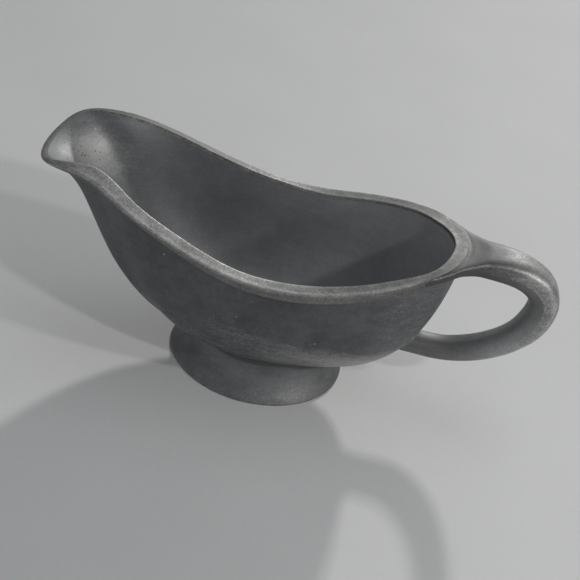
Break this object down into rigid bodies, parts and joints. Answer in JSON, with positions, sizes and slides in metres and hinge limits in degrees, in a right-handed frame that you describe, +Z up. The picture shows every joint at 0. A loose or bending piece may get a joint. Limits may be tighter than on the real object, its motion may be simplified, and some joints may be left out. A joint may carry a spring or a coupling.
{
  "type": "sauce boat",
  "caption": "Oval silver sauce boat with a broad curled pouring lip, thick mouth band, hollow flared oval foot and a cast loop handle.",
  "frame": {"origin": "on the plane of the foot's resting face, under the middle of the boat's overall length and width", "axes": "+X points to the handle and -X to the pouring lip, +Z is up, and y = 0 is the plane of symmetry"},
  "size_m": [0.2082, 0.0762, 0.0855],
  "materials": {
    "bowl_silver": "matt aged silver, darkened by use, with a fine cast grain",
    "band_silver": "matt silver, rubbed brighter along the edge",
    "foot_silver": "matt aged silver with light scuffs near the table edge",
    "handle_silver": "matt aged silver, rubbed brighter where it is held",
    "solder": "matt silver solder, filed smooth"
  },
  "bodies": {
    "root": {"bowl_shell": "bowl_silver", "rim_band": "band_silver", "rim_band_solder_seam": "solder", "foot_collar": "foot_silver", "foot_solder_fillet": "solder", "handle": "handle_silver", "handle_upper_solder_fillet": "solder", "handle_lower_solder_fillet": "solder"}
  },
  "joints": []
}
